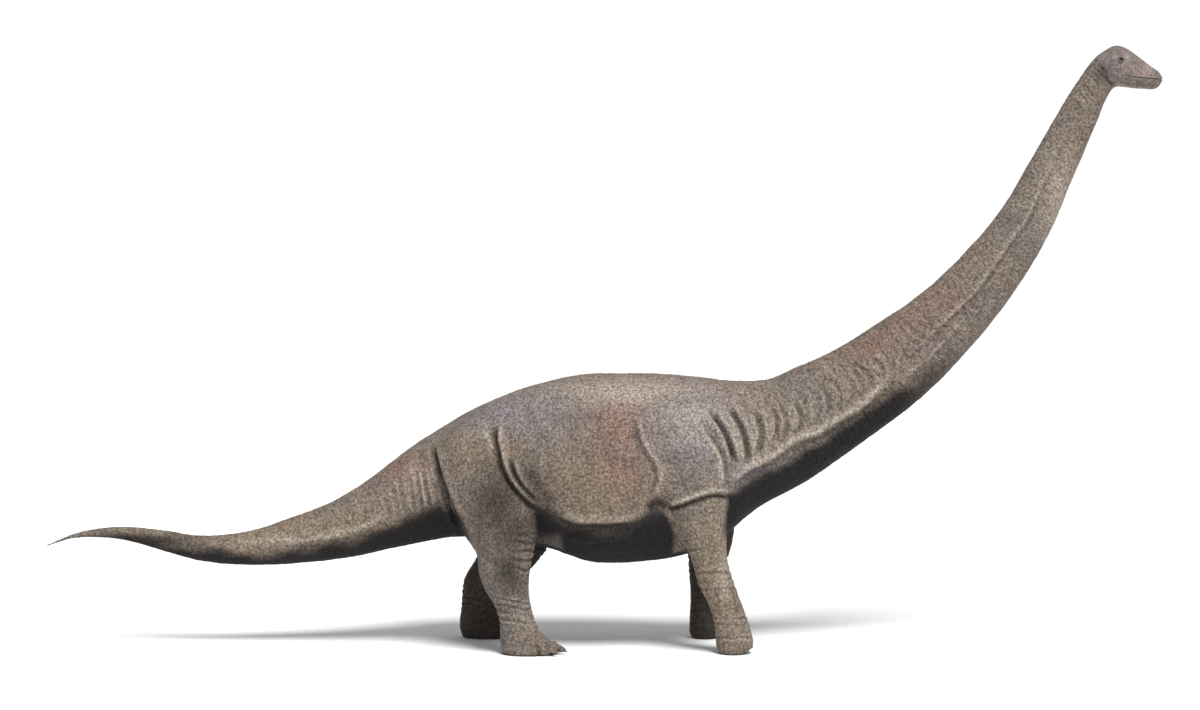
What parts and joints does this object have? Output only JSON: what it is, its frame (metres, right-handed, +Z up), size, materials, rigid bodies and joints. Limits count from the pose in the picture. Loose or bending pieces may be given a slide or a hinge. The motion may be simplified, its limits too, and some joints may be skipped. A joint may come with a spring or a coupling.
{
  "type": "sauropod dinosaur",
  "caption": "Standing life-size sauropod with a long raised neck, small head, barrel body, pillar legs and a low tapering tail.",
  "frame": {"origin": "on the floor, under the middle of the animal's length and width", "axes": "+X towards the head, +Y to the animal's left, +Z up"},
  "size_m": [22.2796, 3.162, 11.9894],
  "materials": {
    "hide": "dry wrinkled pebbled hide, grey brown with rusty patches and a dark underside",
    "claw": "dull dark horn with growth lines",
    "eye": "wet glossy dark eye"
  },
  "bodies": {
    "root": {"claw_1_left": "claw", "claw_1_right": "claw", "claw_2_left": "claw", "claw_2_right": "claw", "claw_3_left": "claw", "claw_3_right": "claw", "eye_left": "eye", "eye_right": "eye", "forearm_left": "hide", "forearm_right": "hide", "forefoot_left": "hide", "forefoot_right": "hide", "head": "hide", "hind_foot_left": "hide", "hind_foot_right": "hide", "lower_jaw": "hide", "neck_base": "hide", "neck_lower": "hide", "neck_middle": "hide", "neck_top": "hide", "neck_upper": "hide", "shank_left": "hide", "shank_right": "hide", "tail_base": "hide", "tail_end": "hide", "tail_middle": "hide", "tail_tip": "hide", "thigh_left": "hide", "thigh_right": "hide", "torso": "hide", "upper_arm_left": "hide", "upper_arm_right": "hide"}
  },
  "joints": []
}
